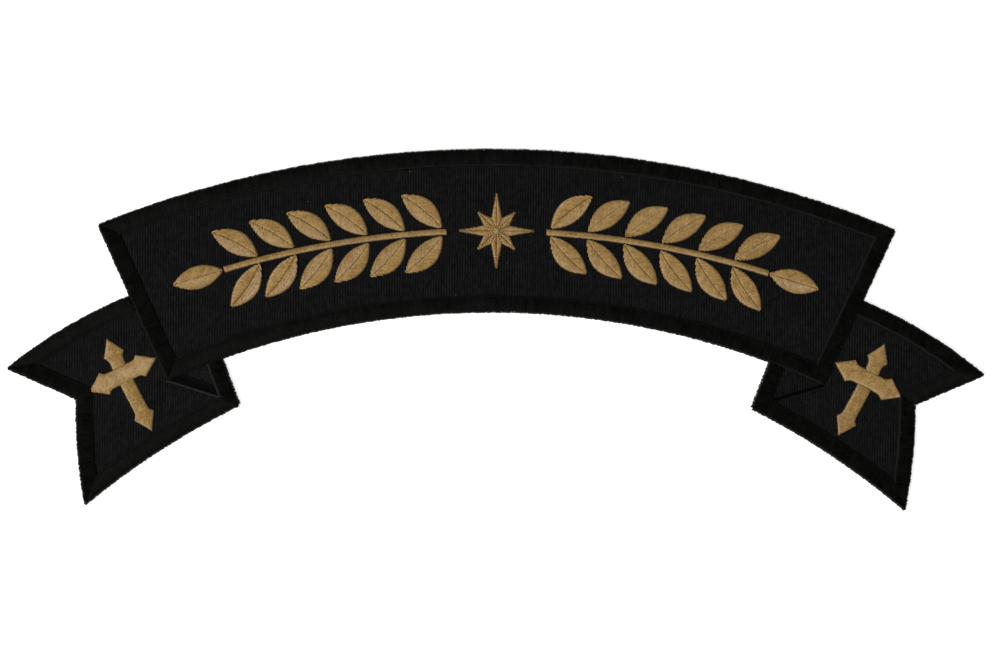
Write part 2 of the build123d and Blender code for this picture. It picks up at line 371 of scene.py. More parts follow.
# Black dye takes most of rayon's shine. The right fold line's thread is painted near black
# and shines less, as painted shade; the thread of the left fold line and its rim is painted
# grey and shines more, as painted highlight. Old gold keeps the full silky shine.
black_thread = rayon_thread(
    "twisted_black_rayon_thread", dark="#030302", light="#1b1a16", bend_painted_light="#262624",
    foot_painted_light="#181818", shine=0.055, glint_weight=0.7)
shaded_black_thread = rayon_thread(
    "black_rayon_thread_painted_shade", dark="#020202", light="#080807", bend_painted_light="#050505",
    foot_painted_light="#050505", shine=0.03, glint_weight=0.7)
highlit_black_thread = rayon_thread(
    "black_rayon_thread_painted_highlight", dark="#2a2a29", light="#444441", bend_painted_light="#30302f",
    foot_painted_light="#0c0c0c", shine=0.2, glint_weight=0.7)
gold_thread = rayon_thread(
    "twisted_old_gold_rayon_thread", dark="#a17a3a", light="#d8b06d", bend_painted_light="#c9ae78",
    foot_painted_light="#3a1a04", shine=0.9, glint_weight=1.3)
threads = (black_thread, shaded_black_thread, highlit_black_thread, gold_thread)
print("Threads:", ", ".join(thread.name for thread in threads))

# %% [markdown]
# ## Outlines from the frame
# A stitch has to start and end on the edge of its field. The solids already have those
# edges: seen from above, an edge of the outline belongs to one face only, while the edges
# inside belong to two faces, which cancel out. The rest is chained into closed loops that
# run anticlockwise, with holes clockwise.

# %% Reading an outline
looks_down = -0.9  # a face whose normal has less than this in Z is on the underside


def outer_edges(faces):
    """The edges that only one of the faces has, as the corner that follows each corner."""
    edges = set()
    for face in faces:
        for edge in zip(face, face[1:] + face[:1]):
            if edge[::-1] in edges:
                edges.remove(edge[::-1])
            else:
                edges.add(edge)
    return dict(sorted(edges))


def outlines(name):
    """The loops round the underside of a solid. The longest comes first."""
    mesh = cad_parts[name].data
    corners = [tuple(round(c, 6) for c in vertex.co.xy) for vertex in mesh.vertices]
    following = outer_edges([corners[i] for i in face.vertices]
                            for face in mesh.polygons if face.normal.z < looks_down)
    loops = []
    while following:
        corner = next(iter(following))
        loop = []
        while corner in following:
            loop.append(corner)
            corner = following.pop(corner)
        loops.append(np.array(loop[::-1]))
    return sorted(loops, key=len, reverse=True)


def inside(points, loops):
    """Which points lie inside the loops."""
    found = np.zeros(len(points), bool)
    for loop in loops:
        for (ax, ay), (bx, by) in zip(loop, np.roll(loop, -1, 0)):
            if ay != by:
                spans = (ay > points[:, 1]) != (by > points[:, 1])
                crossing = ax + (points[:, 1] - ay) * (bx - ax) / (by - ay)
                found ^= spans & (points[:, 0] < crossing)
    return found


def to_left(way):
    """The way, or each of many ways, turned a quarter anticlockwise."""
    return way[..., ::-1] * (-1, 1)


def spans_inside(loops, start, way):
    """Where a line lies inside the loops, as pairs of lengths along it."""
    left = to_left(way)
    lengths = []
    for loop in loops:
        offset = loop - start
        off = offset @ left
        along = offset @ way
        next_off = np.roll(off, -1)
        next_along = np.roll(along, -1)
        for i in np.flatnonzero((off >= 0) != (next_off >= 0)):
            share = off[i] / (off[i] - next_off[i])
            lengths.append(along[i] + share * (next_along[i] - along[i]))
    lengths.sort()
    return list(zip(lengths[::2], lengths[1::2]))


patch_outline = outlines("twill_ground")[:1]
print("Points on the cloth's outline:", len(patch_outline[0]))

# %% [markdown]
# ## One stitch
# A stitch is a low bridge of thread: it comes up out of the cloth at one edge, lies over
# the padding and goes down at the other edge. It is built as a closed strip. Its section
# has a round back of five points and two feet, and the section is repeated at rows along
# the stitch. Three numbers for each kind of end say how the thread rises there.
#
# Curves with a bevel would give round threads too, but they can't have feet on the cloth,
# and thousands of them are slow. A plain mesh from arrays is fast and closed.

# %% Sizes of thread and the way that it rises from its ends
# pitch: from thread to thread; back: height of the thread's round back; dome: share of its
# height that a stitch loses from its middle to its ends; slack: how far it sags by chance
BLACK = {"pitch": 0.45 * MM, "back": 0.16 * MM, "dome": 0.02, "slack": 0.03 * MM}
GOLD = {"pitch": 0.42 * MM, "back": 0.14 * MM, "dome": 0.05, "slack": 0.015 * MM}
thread_overlap = 1.06
thread_slip = 0.02 * MM
least_rise = 0.02 * MM
foot_sink = 0.08 * MM
black_overhang = 0.5 * MM
gold_overhang = 0.3 * MM

# share of the satin's height at the end, how far in the thread stays that low, and over what
# length it rises from there
EDGE = (0.10, 0.0, 0.8 * MM)
GOLD_EDGE = (0.05, 0.25 * MM, 0.6 * MM)
PARTING = (0.70, 0.0, 0.5 * MM)
MITRE = (0.92, 0.0, 0.5 * MM)

# rows of points in from each end, in millimetres, and the share of the thread's width there
END_ROWS = [(0.0, 0.62), (0.25, 0.92), (0.60, 1.0), (0.95, 1.0)]
longest_end = 0.42  # share of a short stitch that the rows of one end may take
wrapped_rows = 3
# points over the round back: shares of the width across, and of the back's height down
BACK = [(0.5, 1.0), (0.33, 0.36), (0.0, 0.0), (-0.33, 0.36), (-0.5, 1.0)]


def stitch(start, end, start_end, end_end, wraps=False):
    """A stitch from one point to another, with the kind of end that it has there."""
    return {"start": start, "end": end, "start_end": start_end, "end_end": end_end,
            "wraps": wraps}


def rise(ends, length):
    """The share of the satin's height, on half a parabola, at lengths in from the ends."""
    start, flat, reach = np.array(ends).T[:, :, None]
    short = 1 - np.clip((length - flat) / reach, 0, 1)
    return start + (1 - start) * (1 - short**2)


# %% Strips of thread as one mesh
def tubes(name, points, material):
    """A mesh of closed tubes through rings of points, and how many of its faces are quads."""
    count, rows, around = points.shape[:3]
    first = np.arange(count)[:, None, None] * rows * around
    near = first + np.arange(rows - 1)[None, :, None] * around
    here = np.arange(around)[None, None, :]
    following = (here + 1) % around
    quads = np.stack([near + here, near + following, near + around + following,
                      near + around + here], axis=-1).reshape(-1, 4)
    start_caps = first[:, 0] + np.arange(around)[None, ::-1]
    end_caps = first[:, 0] + (rows - 1) * around + np.arange(around)[None, :]
    mesh = bpy.data.meshes.new(name)
    faces = [*quads.tolist(), *start_caps.tolist(), *end_caps.tolist()]
    mesh.from_pydata(points.reshape(-1, 3).tolist(), [], faces)
    mesh.materials.append(material)
    return mesh, len(quads)


def set_points(mesh, name, values):
    """Stores one number for each point of a mesh."""
    mesh.attributes.new(name, "FLOAT", "POINT").data.foreach_set("value", values)


def sew(name, stitches, base, height, thread, material, dice, lift=0.0):
    """One mesh of closed strips, from stitches that each have a start and an end."""
    inset, narrow = np.array(END_ROWS).T
    inset = inset * MM
    starts = np.array([row["start"] for row in stitches])
    ends = np.array([row["end"] for row in stitches])
    ways = ends - starts
    lengths = np.hypot(*ways.T)[:, None]
    ways /= lengths
    lefts = to_left(ways)
    slips = dice.normal(0, thread_slip, (len(stitches), 2))
    starts = starts + lefts * slips[:, :1]
    ends = ends + lefts * slips[:, 1:]
    ways = (ends - starts) / lengths
    squeeze = np.minimum(1, longest_end * lengths / inset[-1])
    along = np.concatenate([
        inset * squeeze,
        lengths / 2,
        lengths - (inset * squeeze)[:, ::-1],
    ], axis=1)

    rises = np.minimum(
        rise([row["start_end"] for row in stitches], along),
        rise([row["end_end"] for row in stitches], lengths - along))
    domed = rises * (1 - thread["dome"] * (2 * along / lengths - 1) ** 2)
    crest = base + height * domed - dice.exponential(thread["slack"], (len(stitches), 1))
    feet = np.full_like(along, cloth_top - foot_sink)
    wraps = np.array([row["wraps"] for row in stitches])
    feet[wraps, :wrapped_rows] = least_rise

    pinch = np.concatenate([narrow, [1.0], narrow[::-1]])
    across = np.array([0.5, *(share for share, _ in BACK), -0.5])
    count, rows, around = len(stitches), along.shape[1], len(across)
    points = np.empty((count, rows, around, 3))
    flat = starts[:, None] + ways[:, None] * along[:, :, None]
    width = thread["pitch"] * thread_overlap * pinch[:, None] * across
    points[..., :2] = flat[:, :, None] + lefts[:, None, None] * width[None, :, :, None]
    for j, (_, drop) in enumerate(BACK, start=1):
        points[:, :, j, 2] = np.maximum(crest - drop * thread["back"], feet + least_rise)
    points[:, :, 0, 2] = feet
    points[:, :, -1, 2] = feet

    mesh, sides = tubes(name, points, material)
    mesh.polygons.foreach_set("use_smooth", [True] * sides + [False] * 2 * count)
    # tone: a chance number for each stitch plus its part's lift, which on the crosses is painted
    # sheen
    set_points(mesh, "tone", np.repeat(dice.random(count) + lift, rows * around))
    at_edge = np.array([[row[end] in (EDGE, GOLD_EDGE) for end in ("start_end", "end_end")]
                        for row in stitches])
    middle_row = rows // 2
    dives = (1 - rises) * np.repeat(at_edge, [middle_row + 1, middle_row], axis=1)
    set_points(mesh, "dive", np.repeat(dives[:, :, None], around, 2).ravel())
    corner_points = np.empty(len(mesh.loops), np.int32)
    mesh.loops.foreach_get("vertex_index", corner_points)
    phase = dice.random((count, 1, 1))
    stitch_map = np.empty((count, rows, around, 2))
    stitch_map[..., 0] = along[:, :, None] / MM
    stitch_map[..., 1] = np.linspace(0, 1, around) + phase
    mesh.uv_layers.new(name="stitch").data.foreach_set(
        "uv", stitch_map.reshape(-1, 2)[corner_points].ravel())
    return mesh


def show(mesh, slot, *nodes):
    """Puts a finished mesh on the patch, in place of its solids if it has any."""
    piece = add_object(mesh)
    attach(piece, "root")
    if nodes:
        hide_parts(*nodes)
    return piece


# %% [markdown]
# ## Satin borders
# Satin stitch along an edge lies square to it, about two stitches to a millimetre, and
# wraps the cut edge of the cloth. At a corner the stitches of both sides are cut off on
# the line that halves it, as an embroiderer mitres a corner. The same rule, to keep each
# stitch on its own side of that line, also serves the inward corner of a swallow tail,
# where the sides are run on past the corner.
#
# The machine never hits exactly the same line, so the outer ends are a little uneven.

# %% Sides of an outline
corner_turn = math.radians(12)
border_width = 4.8 * MM
outer_unevenness = 0.24 * MM
outer_shares = (0.1, 1.2)  # least and most of it that a stitch sticks out
inner_unevenness = 0.12 * MM
border_lean = 4.0  # degrees
lean_reach = 9  # stitches over which the lean changes
shortest_stitch = 0.25 * MM
straight_bow = 0.002 * MM
edge_snap = 0.06 * MM  # a stitch that starts this near the edge belongs to it
full_share = 0.97  # of the border's width, past which a stitch wasn't cut off
beyond_edge = 0.3 * MM


def unit(step):
    """The step with a length of one."""
    return step / np.hypot(*step)


def turned(way, degrees):
    """The way turned anticlockwise."""
    angle = math.radians(degrees)
    return np.array([
        way[0] * math.cos(angle) - way[1] * math.sin(angle),
        way[0] * math.sin(angle) + way[1] * math.cos(angle),
    ])


def smooth_noise(count, reach, dice):
    """Chance numbers of about -1 to 1 that change slowly from one to the next."""
    rough = dice.normal(0, 1, count + 4 * reach)
    bell = np.hanning(4 * reach + 1)
    return np.convolve(rough, bell / np.sqrt((bell**2).sum()), "valid")


def sides_of(loop):
    """The sides of a loop, each a run of points from one corner to the next."""
    steps = np.roll(loop, -1, 0) - loop
    angles = np.arctan2(steps[:, 1], steps[:, 0])
    turns = (angles - np.roll(angles, 1) + math.pi) % (2 * math.pi) - math.pi
    corners = np.flatnonzero(abs(turns) > corner_turn)
    sides = []
    for corner, following in zip(corners, np.roll(corners, -1)):
        count = (following - corner) % len(loop)
        sides.append(loop[(corner + np.arange(count + 1)) % len(loop)])
    return sides


def stations(side, step, run_on=0.0):
    """Points and ways along a side, which is straight or an arc, run on past both ends."""
    chord = side[-1] - side[0]
    length = np.hypot(*chord)
    way = chord / length
    left = to_left(way)
    middle = side[len(side) // 2] - side[0]
    x = middle @ way
    bow = middle @ left
    if len(side) < 3 or abs(bow) < straight_bow:
        count = max(1, round(length / step))
        shares = (np.arange(count) + 0.5) / count
        places = np.stack([shares * length, 0 * shares], axis=1)
        turns = np.zeros(len(shares))
    else:
        centre = (x * x - x * length + bow * bow) / (2 * bow)
        radius = math.hypot(length / 2, centre)
        half_angle = math.asin(length / 2 / radius)
        count = max(1, round(2 * radius * half_angle / step))
        turns = ((np.arange(count) + 0.5) / count * 2 - 1) * half_angle
        swell = centre + np.copysign(radius, bow) * np.cos(turns)
        places = np.stack([length / 2 + radius * np.sin(turns), swell], axis=1)
        turns = -np.sign(bow) * turns
    ways = np.stack([np.cos(turns), np.sin(turns)], axis=1)
    points = side[0] + places @ np.array([way, left])
    ways = ways @ np.array([way, left])
    extra = np.arange(1, int(run_on / step) + 1)[:, None] * step
    before = (points[0] - ways[0] * extra)[::-1]
    after = points[-1] + ways[-1] * extra
    points = np.concatenate([before, points, after])
    ways = np.concatenate([ways[:1].repeat(len(extra), 0), ways, ways[-1:].repeat(len(extra), 0)])
    return points, ways


# %% Stitches of a border
def clipped(low, high, start, way, corner, keep_way):
    """The part of a line from low to high that is on the kept side of a mitre."""
    at_start = (start - corner) @ keep_way
    slope = way @ keep_way
    if abs(slope) < 1e-9:
        return (low, high) if at_start >= 0 else (low, low)
    crossing = -at_start / slope
    return (max(low, crossing), high) if slope > 0 else (low, min(high, crossing))


def border_stitches(sides, closed, footprint, dice):
    """Stitches square to the sides, mitred at the corners and kept inside the footprint."""
    pitch = BLACK["pitch"]
    placed = [stations(side, pitch, border_width) for side in sides]
    own = [stations(side, pitch) for side in sides]
    found = []
    for i, (points, ways) in enumerate(placed):
        mitres = []
        if closed or i > 0:
            bisecting = unit(own[i - 1][1][-1] + own[i][1][0])
            mitres.append((sides[i][0], bisecting))
        if closed or i < len(sides) - 1:
            bisecting = unit(own[i][1][-1] + own[(i + 1) % len(sides)][1][0])
            mitres.append((sides[i][-1], -bisecting))
        leans = smooth_noise(len(points), lean_reach, dice) * border_lean
        for point, way, lean in zip(points, ways, leans):
            inward = turned(way, 90 + lean)
            low, high = 0.0, border_width
            for corner, keep_way in mitres:
                low, high = clipped(low, high, point, inward, corner, keep_way)
            for a, b in spans_inside(footprint, point, inward):
                a, b = max(low, a), min(high, b)
                if b - a < shortest_stitch:
                    continue
                at_edge = a < edge_snap
                at_end = b > border_width * full_share
                beyond = point - inward * beyond_edge
                shift = dice.uniform(*outer_shares) * outer_unevenness if at_edge else 0
                reach = b + (black_overhang if at_end else 0)
                reach += dice.uniform(-0.5, 0.5) * inner_unevenness
                found.append(stitch(
                    point + inward * (a - shift), point + inward * reach,
                    EDGE if at_edge else MITRE, EDGE if at_end else MITRE,
                    at_edge and not inside(beyond[None], patch_outline)[0]))
    return found


def is_free(side):
    """Whether there is no more cloth beyond a side."""
    points, ways = stations(side, BLACK["pitch"])
    middle = len(points) // 2
    beyond = points[middle] + turned(ways[middle], -90) * beyond_edge
    return not inside(beyond[None], patch_outline)[0]


# %% Border of the band and of both tails
border_base = cloth_top
border_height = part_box("band_border")[1].z - border_base
borders = {}

loops = outlines("band_border")[:2]
dice = np.random.default_rng(11)
stitches = border_stitches(sides_of(loops[0]), True, loops, dice)
borders["band_border"] = stitches
for side in ("left", "right"):
    name = f"{side}_tail_border"
    loops = outlines(name)[:1]
    runs = sides_of(loops[0])
    outer_sides = [is_free(run) for run in runs]
    first = next(i for i in range(len(runs)) if outer_sides[i] and not outer_sides[i - 1])
    count = sum(outer_sides)
    chain = [runs[(first + i) % len(runs)] for i in range(count)]
    borders[name] = border_stitches(chain, False, loops, dice)
    lengths = [round(float(np.hypot(*(run[-1] - run[0]))) / MM, 1) for run in chain]
    print(name, "has outer sides of", lengths, "mm")

for name, stitches in borders.items():
    mesh = sew(name + "_satin", stitches, border_base, border_height, BLACK, black_thread, dice)
    show(mesh, "black_satin_thread", name)
    print(name, "stitches:", len(stitches))

# %% [markdown]
# ## Fuzz on the cut edge
# Where the thread wraps the cut edge of the cloth, single filaments of it and of the twill
# have broken and stand out by less than a millimetre. They are what makes the patch's edge
# look soft. Hair curves would do, but they aren't a mesh, so each filament is a thin closed
# tube with three sides, bent to one side as it goes out.

# %% Broken filaments
# share: of the wrapped stitches; spread: of the filaments' ways, in degrees; bow and climb:
# how far they bend sideways and upwards, in shares of their length
FUZZ = {
    "share": 0.8, "shortest": 0.3 * MM, "longest": 0.9 * MM, "radius": 0.022 * MM, "taper": 0.6,
    "spread": 35, "bow": 0.35, "climb": 0.3,
    "rooted": 0.15 * MM, "lowest_root": 0.3 * MM, "lowest": 0.05 * MM,
}
fuzz_rings = 5
fuzz_sides = 3


def fuzz(name, stitches, dice):
    """One mesh of thin bent tubes that stand out of the ends of the wrapped stitches."""
    wrapped = [row for row in stitches if row["wraps"] and dice.random() < FUZZ["share"]]
    count = len(wrapped)
    starts = np.array([row["start"] for row in wrapped])
    outward = starts - np.array([row["end"] for row in wrapped])
    outward /= np.hypot(*outward.T)[:, None]
    heading = np.radians(dice.normal(0, FUZZ["spread"], count))[:, None]
    ways = outward * np.cos(heading) + to_left(outward) * np.sin(heading)
    across = to_left(ways)
    lengths = dice.uniform(FUZZ["shortest"], FUZZ["longest"], count)[:, None]
    share = np.linspace(0, 1, fuzz_rings)[None, :, None]
    bends = dice.normal(0, FUZZ["bow"], (count, 1, 1)) * lengths[:, None]
    roots = (starts - outward * FUZZ["rooted"])[:, None]
    middles = roots + ways[:, None] * lengths[:, None] * share
    middles = middles + across[:, None] * bends * share**2
    heights = dice.uniform(FUZZ["lowest_root"], cloth_top, (count, 1))
    climbs = lengths * dice.normal(0, FUZZ["climb"], (count, 1))
    heights = heights + climbs * share[..., 0]
    heights = np.clip(heights, FUZZ["lowest"], cloth_top + border_height)
    turns = 2 * math.pi * np.arange(fuzz_sides) / fuzz_sides
    radius = FUZZ["radius"] * (1 - FUZZ["taper"] * share)
    sidesteps = (radius * np.cos(turns))[..., None]
    points = np.empty((count, fuzz_rings, fuzz_sides, 3))
    points[..., :2] = middles[:, :, None] + across[:, None, None] * sidesteps
    points[..., 2] = heights[:, :, None] + radius * np.sin(turns)
    return tubes(name, points, black_thread)[0]


dice = np.random.default_rng(3)
wrapped_stitches = [row for stitches in borders.values() for row in stitches]
fuzz_mesh = fuzz("border_fuzz", wrapped_stitches, dice)
show(fuzz_mesh, "black_satin_thread")
print("Faces of the fuzz:", len(fuzz_mesh.polygons))

# %% [markdown]
# ## Fields of gold satin
# Inside a field the stitches lie side by side and parallel, from edge to edge. A line is
# moved across the field by one thread's width at a time, and each stretch of it that lies
# inside the outline is a stitch. A leaf or a ray of the star is two such fields that meet
# on a line down its middle, with stitches that slant outwards to the tip, so that one half
# catches the light while the other doesn't.


# %% Parallel stitches in a field
uneven_end = 0.06 * MM


def field_stitches(field, way, dice, start_end=GOLD_EDGE, end_end=GOLD_EDGE):
    """Stitches along a way that fill a field, one thread's width apart."""
    left = turned(way, 90)
    off = field @ left
    count = max(1, round((off.max() - off.min()) / GOLD["pitch"]))
    found = []
    for number in range(count):
        across = off.min() + (number + 0.5) / count * (off.max() - off.min())
        origin = left * across
        for low, high in spans_inside([field], origin, way):
            if high - low > shortest_stitch:
                ends = dice.uniform(-uneven_end, uneven_end, 2)
                before = gold_overhang if start_end is GOLD_EDGE else 0
                after = gold_overhang if end_end is GOLD_EDGE else 0
                found.append(stitch(
                    origin + way * (low - before + ends[0]),
                    origin + way * (high + after + ends[1]), start_end, end_end))
    return found


def arc_points(first, last, bow, count=24):
    """Points on an arc with this bow to the left of the line between its ends."""
    chord = last - first
    left = turned(chord, 90) / np.hypot(*chord)
    share = np.linspace(0, 1, count)[:, None]
    return first + chord * share + left * bow * 4 * share * (1 - share)


def bow_of(side):
    """How far a side swells to the left of the line between its ends."""
    way = unit(side[-1] - side[0])
    return ((side - side[0]) @ turned(way, 90))[len(side) // 2]


# %% Leaves, stems and star
leaf_slant = 48
stem_slant = 55
star_slant = 55
knot_reach = 1.1 * MM
KNOT_WAYS = (20, 65, 110, 155)


def leaf_stitches(loop, dice):
    """The two slanted halves of a leaf on each side of its middle line."""
    left_edge, right_edge = sides_of(loop)
    base, tip = left_edge[-1], left_edge[0]
    way = unit(tip - base)
    left_bow = bow_of(left_edge[::-1])
    right_bow = bow_of(right_edge)
    middle = arc_points(base, tip, (left_bow + right_bow) / 2)
    found = []
    for edge, sign in ((left_edge, 1), (right_edge, -1)):
        bow = left_bow if sign > 0 else right_bow
        half = np.concatenate([arc_points(base, tip, bow), middle[::-1]])
        found += field_stitches(half, turned(way, sign * leaf_slant), dice, PARTING)
    return found


def star_stitches(loop, dice):
    """Both halves of each ray, from its middle line outwards, and a knot over their feet."""
    centre = loop.mean(axis=0)
    reach = np.hypot(*(loop - centre).T)
    found = []
    for i, tip in enumerate(loop):
        valleys = loop[i - 1], loop[(i + 1) % len(loop)]
        if reach[i] > max(np.hypot(*(valley - centre)) for valley in valleys):
            way = unit(tip - centre)
            for valley, sign in zip(valleys, (-1, 1)):
                half = np.array([centre, tip, valley])
                slanted = turned(way, sign * star_slant)
                found += field_stitches(half, slanted, dice, PARTING)
    for knot_way in KNOT_WAYS:
        way = turned(np.array([1.0, 0.0]), knot_way)
        found.append(stitch(centre - way * knot_reach, centre + way * knot_reach, MITRE, MITRE))
    return found


def farthest_way(loop):
    """The way between the two points of a loop that are farthest apart."""
    apart = np.hypot(*(loop[:, None] - loop[None]).transpose(2, 0, 1))
    i, j = np.unravel_index(apart.argmax(), apart.shape)
    return unit(loop[j] - loop[i])


# %% [markdown]
# ## Crosses and fold lines
# Each arm of a cross is a field of its own, with stitches straight across it, so the bar
# shines where the upright doesn't; the bar's thread is also painted lighter and the upright's
# darker, as painted sheen. The line that draws the ribbon's fold is the same stitch in black.
# On the left it is painted grey, as a painted highlight, and so is a row of stitches over the
# edge of the border beside it. On the right it lies low in the cloth and is painted near
# black, as painted shade.

# %% Crosses and the rim of painted highlight
# degrees from upright on the right tail; the same three leans are in the solids
upright_lean = {"cross_top": 24.2, "cross_shaft": 28.0}
bar_lean = 27.0
# how far the grey stitches of painted highlight reach over the border's edge and past it,
# and how high they lie
highlight_rim = {"over": 0.35 * MM, "past": 0.65 * MM, "height": 1.04}


def cross_stitches(part, side, loop, dice):
    """Stitches straight across one arm of a cross."""
    mirror = -1 if side == "left" else 1
    if part == "cross_bar":
        across = turned(np.array([0.0, 1.0]), -mirror * bar_lean)
    else:
        across = turned(np.array([1.0, 0.0]), -mirror * upright_lean[part])
    return field_stitches(loop, across, dice)


def rim_stitches(side, foot):
    """Short stitches over a tail border's inner edge, from the foot of the fold line up."""
    runs = sides_of(outlines(f"{side}_tail_border")[0])
    run = min(runs, key=lambda points: np.hypot(*(points[-1] - foot)))
    found = []
    for point, way in zip(*stations(run, BLACK["pitch"])):
        inward = turned(way, 90)
        found.append(stitch(point + inward * highlight_rim["over"],
                            point - inward * highlight_rim["past"], EDGE, EDGE))
    return found


# %% Every gold field and the fold lines
# how much lighter the thread of a part is, in shares of its range of tones; on the crosses
# the lighter bar and darker upright are painted sheen, on the leaves it is their tone
SHEEN_AND_TONE_LIFTS = {"cross_bar": 0.5, "cross_shaft": -0.35, "leaf": 0.35}
fold_slant = 80
sunken_share = 0.35

dice = np.random.default_rng(5)
field_count = 0
for name in sorted(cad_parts):
    if name in borders or name == "twill_ground":
        continue
    side, _, part = name.partition("_")
    loop = outlines(name)[0]
    low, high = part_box(name)
    thread, material, slot = GOLD, gold_thread, "gold_satin_thread"
    kind = part.rstrip("_0123456789")
    if kind == "leaf":
        stitches = leaf_stitches(loop, dice)
    elif name == "star":
        stitches = star_stitches(loop, dice)
    elif kind == "stem":
        stitches = field_stitches(loop, turned(farthest_way(loop), stem_slant), dice)
    elif kind == "fold_line":
        way = turned(farthest_way(loop), fold_slant)
        stitches = field_stitches(loop, way, dice, EDGE, EDGE)
        thread, slot = BLACK, "black_satin_thread"
        # Painted light: grey thread on the left as painted highlight, near-black on the right as
        # painted shade
        material = highlit_black_thread if side == "left" else shaded_black_thread
        if side == "left":
            rim_row = rim_stitches(side, loop[loop[:, 1].argmin()])
            rim_mesh = sew("painted_highlight_rim_satin", rim_row, border_base,
                           border_height * highlight_rim["height"], BLACK, highlit_black_thread, dice)
            show(rim_mesh, slot)
    else:
        stitches = cross_stitches(kind, side, loop, dice)
    field_count += len(stitches)
    height = (high.z - low.z) * (sunken_share if material is shaded_black_thread else 1)
    mesh = sew(name + "_satin", stitches, low.z, height, thread, material, dice,
               SHEEN_AND_TONE_LIFTS.get(kind, 0.0))
    show(mesh, slot, name)
print("Stitches in the fields:", field_count)

# %% [markdown]
# ## Twill ground
# The cloth is one sheet under everything. Its mesh has a column of points for each quarter
# of a rib, so that the ribs are real relief, and rows a millimetre apart, or closer behind
# the left fold line, where there are creases. A constrained triangulation joins them inside
# the smooth cut outline. Thread pulls the cloth down where it is sewn, so the surface dips
# beside every edge of satin. The cloth also puckers in the small triangle behind the fold
# line, more on the left, where it was pulled. What lies deep under satin is left out.

# %% Relief of the cloth
columns_per_rib = 4
row_step = 1.0 * MM
rib_depth = 0.12 * MM
sewn_dip = 0.05 * MM
sewn_reach = 0.5 * MM
hidden_depth = 1.2 * MM
mark_step = 0.4 * MM
rim_step = 1.0 * MM
rim_clearance = 0.6 * MM
past_fold = 4 * MM
rows_finer = 4
# how far the ribs swing sideways, and the lengths of that swing along and across them
DRIFT = {"by": 0.10 * MM, "along": 6 * MM, "across": 17 * MM}


def rib_height(phase):
    """The height of a rib from -1 in the valley to 0 on its back, by its phase."""
    return np.sqrt(np.abs(np.sin(math.pi * phase))) - 1


def satin_edges(step):
    """Points along the edges of all satin, and the loops themselves."""
    points, loops = [], []
    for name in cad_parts:
        if name != "twill_ground":
            found = outlines(name)[: 2 if name == "band_border" else 1]
            loops += [found]
            for loop in found:
                for a, b in zip(loop, np.roll(loop, -1, 0)):
                    count = max(1, int(np.hypot(*(b - a)) / step))
                    points += list(a + (b - a) * np.linspace(0, 1, count, False)[:, None])
    return np.array(points), loops


def grid_of(columns, rows):
    """Every crossing of the columns and rows."""
    return np.stack(np.meshgrid(columns, rows), axis=-1).reshape(-1, 2)


def distances(points, marks):
    """How far each point is from the nearest mark."""
    marks_tree = KDTree(len(marks))
    for i, (x, y) in enumerate(marks):
        marks_tree.insert((x, y, 0), i)
    marks_tree.balance()
    return np.array([marks_tree.find((x, y, 0))[2] for x, y in points])


edge_points, satin_loops = satin_edges(mark_step)
print("Points on satin edges:", len(edge_points))

# %% Points of the cloth
low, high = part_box("twill_ground")
columns = np.arange(low.x, high.x, rib_pitch / columns_per_rib)
rows = np.arange(low.y, high.y, row_step)
fold = outlines("left_fold_line")[0]
fine_columns = columns[(columns > fold[:, 0].min()) & (columns < fold[:, 0].max())]
fine_step = row_step / rows_finer
fine_rows = np.arange(fold[:, 1].min(), fold[:, 1].max() + past_fold, fine_step) + fine_step / 2
grid = np.concatenate([grid_of(columns, rows), grid_of(fine_columns, fine_rows)])
swing = np.sin(grid[:, 1] / DRIFT["along"])
drift = DRIFT["by"] * swing * np.sin(grid[:, 0] / DRIFT["across"])
phase = grid[:, 0] / rib_pitch
grid[:, 0] += drift
kept = inside(grid, patch_outline)
grid, phase = grid[kept], phase[kept]
to_edge = distances(grid, edge_points)
under_satin = np.zeros(len(grid), bool)
for loops in satin_loops:
    under_satin |= inside(grid, loops)
kept = ~(under_satin & (to_edge > hidden_depth))
grid, phase, to_edge = grid[kept], phase[kept], to_edge[kept]

rim = []
for side in sides_of(patch_outline[0]):
    points, _ = stations(side, rim_step)
    rim += [side[0], *points]
rim = np.array(rim)
clear = distances(grid, rim) > rim_clearance
grid, phase, to_edge = grid[clear], phase[clear], to_edge[clear]
print("Points of the cloth:", len(grid))

# %% Pucker behind the fold lines
# depth: how deep the pocket is, which also sets its painted shade; crease: height of the
# creases, which also sets their painted highlight, both in millimetres
POCKETS = [
    {"side": "left", "depth": 0.9, "crease": 0.18},
    {"side": "right", "depth": 0.08, "crease": 0.02},
]
band_outline = outlines("band_border")[:1]
pocket_width = 3.4 * MM
pocket_wall = 0.75  # share of the width over which it gets deeper
pocket_run = 1.1  # share of the fold line's length that the pocket goes along
pocket_end = 2 * MM
painted_shade_edge = 0.3 * MM
crease_pitch = 1.0 * MM
creased = (3.6 * MM, 7.2 * MM)
crease_fade = 0.8 * MM
crease_start = 0.45  # share of the fold line's length
crease_fan = 0.25
fan_middle = 0.9
WAVES = {
    "height": 0.05 * MM, "across": 5.3 * MM, "along": 9 * MM, "swing": 2, "fade": 4 * MM,
}
# weights of the painted shade in the pocket and of the painted highlight on the creases
pocket_painted_shade = 0.6
crease_painted_highlight = 0.4


def ramp(lengths, reach):
    """From 0 to 1 over a length, and level beyond that."""
    return np.clip(lengths / reach, 0, 1)


